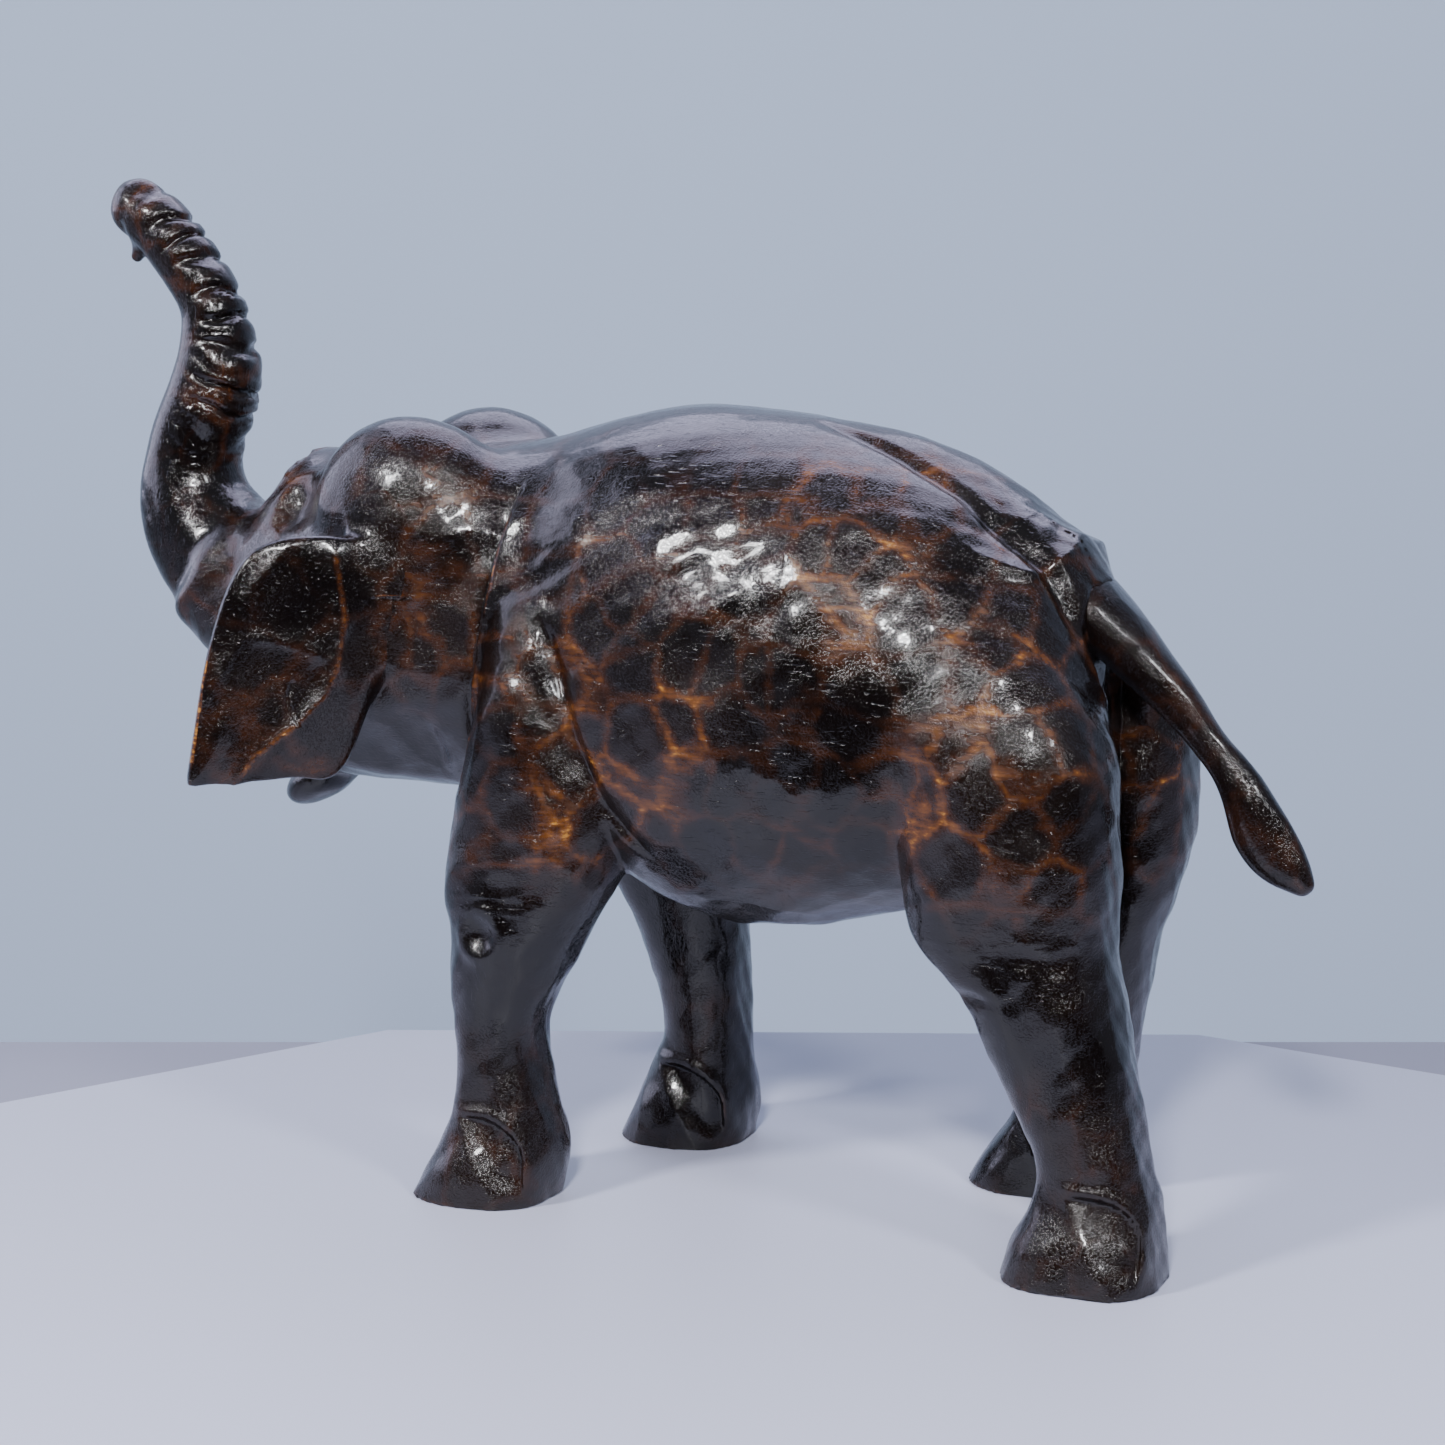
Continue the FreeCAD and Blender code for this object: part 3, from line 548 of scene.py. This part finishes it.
def cut_surface(field, low, high, cell):
    """Skin of a carved shape as points and four-sided faces."""
    block = 4
    low = np.array(low, float)
    blocks = np.ceil((np.array(high) - low) / (cell * block)).astype(int)
    size = blocks * block + 1
    centres = np.stack(np.meshgrid(*[np.arange(n) for n in blocks], indexing="ij"), -1).reshape(-1, 3)
    rough = field(low + (centres + 0.5) * cell * block)
    near = (np.abs(rough) < cell * block * 1.9).reshape(blocks)
    wide = near.copy()
    for axis in range(3):
        wide = wide | np.roll(wide, 1, axis) | np.roll(wide, -1, axis)
    value = np.repeat(np.repeat(np.repeat(rough.reshape(blocks), block, 0), block, 1), block, 2)
    value = np.pad(value, ((0, 1),) * 3, mode="edge")
    need = np.repeat(np.repeat(np.repeat(near, block, 0), block, 1), block, 2)
    need = np.pad(need, ((0, 1),) * 3)
    for axis in range(3):
        need = need | np.roll(need, 1, axis)
    spots = np.argwhere(need)
    fine = np.empty(len(spots))
    for start in range(0, len(spots), 200000):
        fine[start:start + 200000] = field(low + spots[start:start + 200000] * cell)
    value[need] = fine
    inside = value < 0
    count = np.zeros(size - 1, np.uint8)
    corners = [(i, j, k) for i in (0, 1) for j in (0, 1) for k in (0, 1)]
    for i, j, k in corners:
        count += inside[i:size[0] - 1 + i, j:size[1] - 1 + j, k:size[2] - 1 + k]
    cells = np.argwhere((count > 0) & (count < 8))
    number = np.full(size - 1, -1, np.int64)
    number[tuple(cells.T)] = np.arange(len(cells))
    total, hits = np.zeros((len(cells), 3)), np.zeros(len(cells))
    for a in corners:
        for axis in range(3):
            if a[axis]:
                continue
            b = list(a)
            b[axis] = 1
            va, vb = value[tuple((cells + a).T)], value[tuple((cells + b).T)]
            crossed = (va < 0) != (vb < 0)
            t = np.where(crossed, va / np.where(crossed, va - vb, 1), 0)
            spot = np.array(a, float)[None] + t[:, None] * np.eye(3)[axis]
            total += spot * crossed[:, None]
            hits += crossed
    points = low + (cells + total / hits[:, None]) * cell
    faces = []
    for axis in range(3):
        u, v = (axis + 1) % 3, (axis + 2) % 3
        step = np.eye(3, dtype=int)
        here = inside[tuple(slice(0, size[k] - 1) if k == axis else slice(1, size[k] - 1) for k in range(3))]
        there = inside[tuple(slice(1, size[k]) if k == axis else slice(1, size[k] - 1) for k in range(3))]
        edges = np.argwhere(here != there)
        offset = np.ones(3, int) - step[axis]
        edges_at = edges + offset
        quad = [number[tuple((edges_at - du * step[u] - dv * step[v]).T)]
                for du, dv in ((1, 1), (0, 1), (0, 0), (1, 0))]
        quad = np.stack(quad, 1)
        flip = there[tuple(edges.T)]
        quad[flip] = quad[flip][:, ::-1]
        faces.append(quad)
    faces = np.concatenate(faces)
    faces = faces[(faces >= 0).all(1)]
    for _ in range(2):
        v, way = slope_of(field, points, 0.2)
        steep = (way ** 2).sum(1)
        move = -v[:, None] * way / np.maximum(steep, 0.05)[:, None]
        far = np.linalg.norm(move, axis=1)
        points = points + move * np.minimum(1, 0.5 * cell / np.maximum(far, 1e-9))[:, None]
    return points, faces


# ---------------------------------------------------------------- sawing the figure into its blanks
SAWN = 1                    # marks faces left by the saw while a blank is being worked


def mesh_of(points, faces):
    """A blank made of points and faces."""
    blank = bmesh.new()
    mesh = bpy.data.meshes.new("blank")
    mesh.from_pydata(points.tolist(), [], faces.tolist())
    blank.from_mesh(mesh)
    bpy.data.meshes.remove(mesh)
    return blank


def saw(blank, joint):
    """Cuts a blank on a glue face: the part before it and the part beyond it, both closed."""
    halves = []
    for beyond_side in (False, True):
        half = blank.copy()
        geometry = half.verts[:] + half.edges[:] + half.faces[:]
        bmesh.ops.bisect_plane(half, geom=geometry, dist=1e-5, plane_co=joint[0], plane_no=joint[1],
                               clear_outer=not beyond_side, clear_inner=beyond_side)
        rim = [edge for edge in half.edges if edge.is_boundary]
        made = bmesh.ops.holes_fill(half, edges=rim, sides=0)["faces"]
        for face in made:
            face.material_index = SAWN
            face.smooth = False
        halves.append(half)
    blank.free()
    return halves


def take(blank, wanted):
    """Only those faces of a blank whose middle passes the test."""
    part = blank.copy()
    gone = [face for face in part.faces if not wanted(face.calc_center_median())]
    bmesh.ops.delete(part, geom=gone, context="FACES")
    return part


def read_all(items, label, kind, width=1):
    """One value or triple of every vertex, face or corner of a mesh."""
    values = np.empty(len(items) * width, kind)
    items.foreach_get(label, values)
    return values.reshape(-1, width) if width > 1 else values


SOLE_DOWN = -0.999          # a face that looks straight down
SOLE_LEVEL = 0.02           # and lies on the table


def finish_piece(name, node, blank, field, material, worn_lines=None):
    """Turns a sawn blank into a named piece with the carving's own surface directions."""
    mesh = bpy.data.meshes.new(name)
    blank.to_mesh(mesh)
    blank.free()
    spots = read_all(mesh.vertices, "co", float, 3)
    corner = read_all(mesh.loops, "vertex_index", int)
    lengths = read_all(mesh.polygons, "loop_total", int)
    flat = np.repeat(read_all(mesh.polygons, "material_index", int) == SAWN, lengths)
    normals = np.repeat(read_all(mesh.polygons, "normal", float, 3), lengths, 0)
    _, way = slope_of(field, spots, 0.22)
    way /= np.maximum(np.linalg.norm(way, axis=1), 1e-9)[:, None]
    wide, _ = slope_of(field, spots, 1.0)
    ridge = np.clip(wide * 0.7, -1, 1)
    if worn_lines:
        ridge = np.maximum(ridge, worn_lines(spots) * 0.52)
    directions = way[corner]
    directions[flat] = normals[flat]
    directions[(normals[:, 2] < SOLE_DOWN) & (np.abs(spots[corner, 2]) < SOLE_LEVEL)] = (0, 0, -1)
    mesh.polygons.foreach_set("material_index", np.zeros(len(lengths), int))
    mesh.polygons.foreach_set("use_smooth", np.ones(len(lengths), bool))
    mesh.vertices.foreach_set("co", (spots * MM).ravel())
    # worn_edge marks worn ridges; painted_crease_shade is painted shade for creases and hollows, the opposite
    # of a ridge
    for label, values in (("worn_edge", np.clip(ridge, 0, 1)), ("painted_crease_shade", np.clip(-ridge, 0, 1))):
        layer = mesh.attributes.new(label, "FLOAT", "POINT")
        layer.data.foreach_set("value", values)
    mesh.update()
    mesh.normals_split_custom_set(directions.tolist())
    piece = bpy.data.objects.new(name, mesh)
    bpy.context.scene.collection.objects.link(piece)
    mesh.materials.append(material)
    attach(piece, "root")
    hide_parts(node)


# ---------------------------------------------------------------- finishes
class Tap:
    """One value inside a finish, so that finishes can be written as sums."""

    def __init__(self, finish, socket):
        self.finish, self.socket = finish, socket

    def _sum(self, kind, first, second):
        return self.finish.node("ShaderNodeMath", {"operation": kind}, {0: first, 1: second})[0]

    def __add__(self, other):
        return self._sum("ADD", self, other)

    def __mul__(self, other):
        return self._sum("MULTIPLY", self, other)

    def __sub__(self, other):
        return self._sum("SUBTRACT", self, other)

    def __rsub__(self, other):
        return self._sum("SUBTRACT", other, self)

    __radd__, __rmul__ = __add__, __mul__

    def between(self, start, end, low=0.0, high=1.0):
        """Eases from low to high as this value goes from start to end."""
        return self.finish.node("ShaderNodeMapRange", {"interpolation_type": "SMOOTHSTEP"},
                                {0: self, 1: start, 2: end, 3: low, 4: high})[0]


class Finish:
    """A material under construction."""

    def __init__(self, name):
        self.material = bpy.data.materials.new(name)
        self.material.use_nodes = True
        self.tree = self.material.node_tree
        self.tree.nodes.clear()

    def node(self, kind, settings=None, values=None):
        """Adds a node with its settings and its sockets' values or links; gives back its outputs."""
        made = self.tree.nodes.new(kind)
        for key, value in (settings or {}).items():
            setattr(made, key, value)
        for key, value in (values or {}).items():
            socket = made.inputs[key]
            if isinstance(value, Tap):
                self.tree.links.new(value.socket, socket)
            else:
                socket.default_value = value
        return [Tap(self, out) for out in made.outputs if out.enabled]

    def place(self, stretch=(1, 1, 1)):
        """Position on the object in metres, stretched to run a pattern along the grain."""
        spot = self.node("ShaderNodeTexCoord")[3]
        return self.node("ShaderNodeVectorMath", {"operation": "MULTIPLY"}, {0: spot, 1: stretch})[0]

    def shifted(self, spot, drift, far):
        """A position pushed about by a noise's colour, at most about half as far as given in metres."""
        return self.node("ShaderNodeVectorMath", {"operation": "MULTIPLY_ADD"},
                         {0: drift, 1: (far, far, far), 2: spot})[0]

    def noise(self, spot, scale, detail=3.0, rough=0.55, bend=0.0):
        """A cloudy pattern: its value, then its colour."""
        return self.node("ShaderNodeTexNoise", None, {"Vector": spot, "Scale": scale, "Detail": detail,
                                                      "Roughness": rough, "Distortion": bend})

    def blend(self, share, first, second):
        """One colour giving way to another."""
        return self.node("ShaderNodeMix", {"data_type": "RGBA"}, {0: share, 6: first, 7: second})[0]

    def relief(self, strength, height):
        """Small heights in metres as bent surface directions."""
        return self.node("ShaderNodeBump", None, {"Strength": strength, "Distance": 1.0, "Height": height})[0]

    def stored(self, label):
        """A value kept on the points of the piece."""
        return self.node("ShaderNodeAttribute", {"attribute_name": label})[2]

    def surface(self, **values):
        """The finished material."""
        shade = self.node("ShaderNodeBsdfPrincipled", None, values)[0]
        self.node("ShaderNodeOutputMaterial", None, {"Surface": shade})
        return self.material


def colour(red, green, blue):
    """A colour given as it looks on screen, 0 to 255."""
    shares = [v / 255 for v in (red, green, blue)]
    return tuple(((v + 0.055) / 1.055) ** 2.4 if v > 10 / 255 else v / 12.92 for v in shares) + (1.0,)


ALL_HEIGHTS = (-1.0, -0.9, 2.0, 2.1)


def burned_wood(name, spots=1.0, amber=1.0, grain=(1, 0.12, 1), edges=1.0, cell=14.0, band=ALL_HEIGHTS):
    """Dark wood scorched in soft round spots, amber wood left between them, under thick lacquer, with painted
    shade darkening its creases.

    spots, amber and edges are strengths; cell is the width of a spot in mm; band is where the amber
    fades in and out going up, in metres.
    """
    f = Finish(name)
    plain = f.place()
    along_grain = f.place(grain)
    height = f.node("ShaderNodeSeparateXYZ", None, {0: plain})[2]
    wavy = f.shifted(plain, f.noise(plain, 42.0, 2.0)[1], 0.012)
    wavy = f.shifted(wavy, f.noise(plain, 300.0, 3.0, 0.6)[1], 0.0032)
    pattern = {"Vector": wavy, "Scale": 1000.0 / cell, "Randomness": 0.86}
    from_middle = f.node("ShaderNodeTexVoronoi", {"feature": "F1"}, pattern)[0]
    from_border = f.node("ShaderNodeTexVoronoi", {"feature": "DISTANCE_TO_EDGE"}, pattern)[0]
    patch = f.noise(plain, 24.0, 2.0)[0]
    fine = f.noise(along_grain, 700.0, 4.0, 0.6)[0]
    streak = f.noise(along_grain, 240.0, 3.0, 0.6, 0.3)[0]
    veins = 1 - from_border.between(0.0, 0.27)
    glow = from_middle.between(0.46, 0.84) * 0.44 + veins * veins * 0.62
    glow = glow * patch.between(0.36, 0.62, 0.3, 1.0)
    glow = glow * fine.between(0.25, 0.8, 0.65, 1.2) * streak.between(0.3, 0.7, 1.1, 0.65)
    glow = glow * (height.between(band[0], band[1]) * (1 - height.between(band[2], band[3]))) * spots
    worn = f.stored("worn_edge").between(0.2, 0.6) * fine.between(0.3, 0.7, 0.3, 1.0)
    glow = glow + worn * edges * 0.8
    wood = f.blend(patch.between(0.35, 0.7), colour(9, 6, 6), colour(20, 11, 8))
    wood = f.blend(glow.between(0.03, 0.5), wood, colour(48, 25, 13))
    wood = f.blend(glow.between(0.42, 0.95) * amber, wood, colour(94, 54, 21))
    wood = f.blend(glow.between(0.8, 1.2) * amber, wood, colour(160, 112, 48))
    wood = f.blend(streak.between(0.45, 0.75) * 0.3, wood, colour(8, 6, 6))
    # Painted shade: creases and hollows darkened nearly to black.
    wood = f.blend(f.stored("painted_crease_shade").between(0.12, 0.5) * 0.75, wood, colour(5, 4, 5))
    pits = f.noise(plain, 1750.0, 2.0, 0.7)[0]
    pores = f.noise(along_grain, 1500.0, 2.0, 0.6)[0].between(0.61, 0.72)
    swell = f.noise(plain, 150.0, 2.0)[0]
    rise = pits.between(0.42, 0.7) * patch.between(0.3, 0.6, 0.4, 1.0) * 0.000055
    rise = rise - pores * 0.00006 + swell * 0.0003
    gloss = 0.11 + pits.between(0.4, 0.7) * 0.08 + patch.between(0.3, 0.7) * 0.04
    return f.surface(**{"Base Color": wood, "Roughness": gloss, "Normal": f.relief(0.9, rise), "IOR": 1.5,
                        "Specular IOR Level": 0.4, "Coat Weight": 0.15, "Coat Roughness": 0.06})


def bare_dowel(name):
    """Pale turned dowel with long grain."""
    f = Finish(name)
    grain = f.noise(f.place((1, 1, 0.08)), 700.0, 4.0, 0.6)[0]
    tint = f.blend(grain.between(0.3, 0.7), colour(196, 160, 112), colour(160, 118, 74))
    return f.surface(**{"Base Color": tint, "Roughness": 0.62 - grain * 0.1,
                        "Normal": f.relief(0.3, grain * 0.00005)})


# ---------------------------------------------------------------- making the pieces
body_finish = burned_wood("scorched_body_wood", band=(0.066, 0.1, 0.178, 0.2))
head_finish = burned_wood("scorched_head_wood", spots=0.7, amber=0.75, band=(0.1, 0.14, 0.182, 0.196))
trunk_finish = burned_wood("scorched_trunk_wood", spots=0.75, amber=0.7, grain=(1, 1, 0.15),
                           cell=11.0, edges=0.4)
ear_finish = burned_wood("scorched_ear_wood", spots=0.6, amber=0.9, edges=1.5, cell=17.0)
leg_finish = burned_wood("dark_leg_wood", spots=0.3, amber=0.8, grain=(1, 1, 0.1), cell=13.0)
tail_finish = burned_wood("dark_tail_wood", spots=0.45, amber=0.7, grain=(1, 0.5, 0.5), cell=12.0)
dowel_finish = bare_dowel("dowel_beech")

BEFORE_FIGURE, PAST_FIGURE = (-75, -170, -3), (75, 148, 258)
BEFORE_TAIL, PAST_TAIL = (-18, 98, 80), (18, 170, 165)
TAIL_GRAIN = GRAIN * 0.6    # the tail is thin, so it is cut finer
BETWEEN_LEGS_Y = 40.0

body, front = saw(mesh_of(*cut_surface(elephant, BEFORE_FIGURE, PAST_FIGURE, GRAIN)), NECK)
body, legs = saw(body, LEG_JOINT)
head, trunk = saw(front, TRUNK_JOINT)
head, left_ear = saw(head, EAR_JOINT)
head, right_ear = saw(head, (-EAR_JOINT[0], -EAR_JOINT[1]))
tail = mesh_of(*cut_surface(tail_wood, BEFORE_TAIL, PAST_TAIL, TAIL_GRAIN))
finish_piece("torso_wood", "torso", body, elephant, body_finish)
finish_piece("head_wood", "head", head, elephant, head_finish)
finish_piece("trunk_wood", "trunk", trunk, elephant, trunk_finish)
finish_piece("left_ear_wood", "left_ear", left_ear, elephant, ear_finish, on_ear_folds)
finish_piece("right_ear_wood", "right_ear", right_ear, elephant, ear_finish, on_ear_folds)
finish_piece("tail_wood", "tail", tail, tail_wood, tail_finish)
for name, to_left, to_rear in (("front_left_leg", 1, -1), ("front_right_leg", -1, -1),
                               ("rear_left_leg", 1, 1), ("rear_right_leg", -1, 1)):
    one = take(legs, lambda spot: spot.x * to_left > 0 and (spot.y - BETWEEN_LEGS_Y) * to_rear > 0)
    finish_piece(name + "_wood", name, one, elephant, leg_finish)
legs.free()
for node in ("neck_dowels", "trunk_dowel", "ear_dowels", "tail_dowel", "leg_dowels"):
    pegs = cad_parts[node]
    pegs.data.materials.clear()
    pegs.data.materials.append(dowel_finish)


# ---------------------------------------------------------------- camera
AIM = Vector((0.0, 14.0, 118.0)) * MM
TURN, RISE = 115.0, 9.0     # bearing and height of the viewer, in degrees
VIEW_DISTANCE = 0.8
ACROSS = Vector((math.cos(math.radians(TURN)), math.sin(math.radians(TURN)), 0.0))
AHEAD = Vector((-math.sin(math.radians(TURN)), math.cos(math.radians(TURN)), 0.0))


def bearing(azimuth, elevation):
    """Direction from the figure, azimuth 0 being in front of it; in degrees."""
    a, e = math.radians(azimuth), math.radians(elevation)
    return Vector((math.sin(a) * math.cos(e), -math.cos(a) * math.cos(e), math.sin(e)))


def set_facing(thing, reach, way):
    """Stands a camera or lamp off from the figure, looking at it."""
    thing.location = AIM + way * reach
    thing.rotation_mode = "QUATERNION"
    thing.rotation_quaternion = way.to_track_quat("Z", "Y")
    bpy.context.scene.collection.objects.link(thing)


lens = bpy.data.cameras.new("camera")
lens.sensor_width = 36.0
lens.lens = 79.72
lens.clip_start = 0.01
lens.clip_end = 50.0
camera = bpy.data.objects.new("camera", lens)
set_facing(camera, VIEW_DISTANCE, bearing(TURN, RISE))
bpy.context.scene.camera = camera


# ---------------------------------------------------------------- table, room and lamps
def on_floor(across, ahead, height=0.0):
    """Spot measured from under the aim point: to the right of the view, and away from the viewer."""
    return tuple(Vector((AIM.x, AIM.y, height)) + ACROSS * across + AHEAD * ahead)


def flat_sheet(name, corners, material):
    """A flat part of the room."""
    mesh = bpy.data.meshes.new(name)
    mesh.from_pydata(corners, [], [tuple(range(len(corners)))])
    sheet = bpy.data.objects.new(name, mesh)
    bpy.context.scene.collection.objects.link(sheet)
    mesh.materials.append(material)


def upright_sheet(name, half_width, ahead, bottom, top, material):
    """A wall square to the view."""
    flat_sheet(name, [on_floor(-half_width, ahead, bottom), on_floor(half_width, ahead, bottom),
                      on_floor(half_width, ahead, top), on_floor(-half_width, ahead, top)], material)


def paint(name, tone, rough, glow=0.0):
    """Matt paint, faintly cloudy; glow lights it from behind."""
    f = Finish(name)
    cloud = f.noise(f.place(), 3.0, 2.0)[0]
    darker = tuple(v * 0.93 for v in tone[:3]) + (1.0,)
    tint = f.blend(cloud.between(0.3, 0.7) * 0.25, tone, darker)
    return f.surface(**{"Base Color": tint, "Roughness": rough,
                        "Emission Color": tint, "Emission Strength": glow})


def lamp(name, azimuth, elevation, reach, width, height, power, tone, sheen_only=False):
    """Soft panel lamp aimed at the figure from a bearing; sheen_only lamps show just in the lacquer."""
    panel = bpy.data.lights.new(name, "AREA")
    panel.shape = "RECTANGLE"
    panel.size, panel.size_y = width, height
    panel.energy = power
    panel.color = tone
    stand = bpy.data.objects.new(name, panel)
    stand.visible_diffuse = not sheen_only
    set_facing(stand, reach, bearing(azimuth, elevation))


TABLE_FRONT, LEDGE_BACK = -0.25, 0.148
TABLE_LEFT, TABLE_RIGHT = -0.349, 0.303
TABLE_CORNERS = ((TABLE_LEFT, -0.051), (TABLE_LEFT, TABLE_FRONT), (TABLE_RIGHT, TABLE_FRONT),
                 (TABLE_RIGHT, 0.03), (0.143, 0.145), (-0.101, 0.151))
LEDGE_DROP = -0.003
ROOM_HALF = 3.0
LEDGE_CORNERS = ((-ROOM_HALF, LEDGE_BACK), (-ROOM_HALF, TABLE_FRONT),
                 (ROOM_HALF, TABLE_FRONT), (ROOM_HALF, LEDGE_BACK))
CLEAR_WHITE, COOL_WHITE = (0.98, 0.98, 1), (0.95, 0.96, 1)
LILAC, PALE_LILAC = (0.74, 0.71, 1), (0.76, 0.74, 1)

table_paint = paint("pale_table_paint", colour(199, 202, 226), 0.45)
ledge_paint = paint("grey_ledge_paint", colour(150, 150, 170), 0.6)
wall_paint = paint("pale_wall_paint", colour(166, 181, 208), 0.9, 0.45)
# Painted shade: a dark sheet behind the viewer stands in for the unlit side of the room, so the lacquer on
# the flank reflects darkness there.
shade_sheet_paint = paint("unlit_room_shade_paint", colour(22, 21, 26), 0.95)
flat_sheet("table_top", [on_floor(*corner) for corner in TABLE_CORNERS], table_paint)
flat_sheet("ledge", [on_floor(*corner, LEDGE_DROP) for corner in LEDGE_CORNERS], ledge_paint)
upright_sheet("wall", ROOM_HALF, 0.9, -0.6, 2.4, wall_paint)
# The painted-shade sheet for the unlit side of the room.
upright_sheet("dark_side_of_room", 2.2, -1.7, -1.6, 1.5, shade_sheet_paint)
world = bpy.data.worlds.new("room")
world.use_nodes = True
world.node_tree.nodes["Background"].inputs[0].default_value = (0.50, 0.53, 0.68, 1)
world.node_tree.nodes["Background"].inputs[1].default_value = 0.42
bpy.context.scene.world = world
lamp("near_panel", 108, 31, 1.25, 0.14, 0.14, 17, CLEAR_WHITE)
lamp("head_side_panel", 62, 34, 1.3, 0.16, 0.16, 14, CLEAR_WHITE)
lamp("tail_side_panel", 152, 32, 1.4, 0.2, 0.2, 9, COOL_WHITE)
lamp("ceiling_glow", 293, 52, 1.2, 1.4, 1.3, 28, LILAC, sheen_only=True)
lamp("front_glow", 5, 22, 1.3, 0.9, 0.9, 9, PALE_LILAC, sheen_only=True)
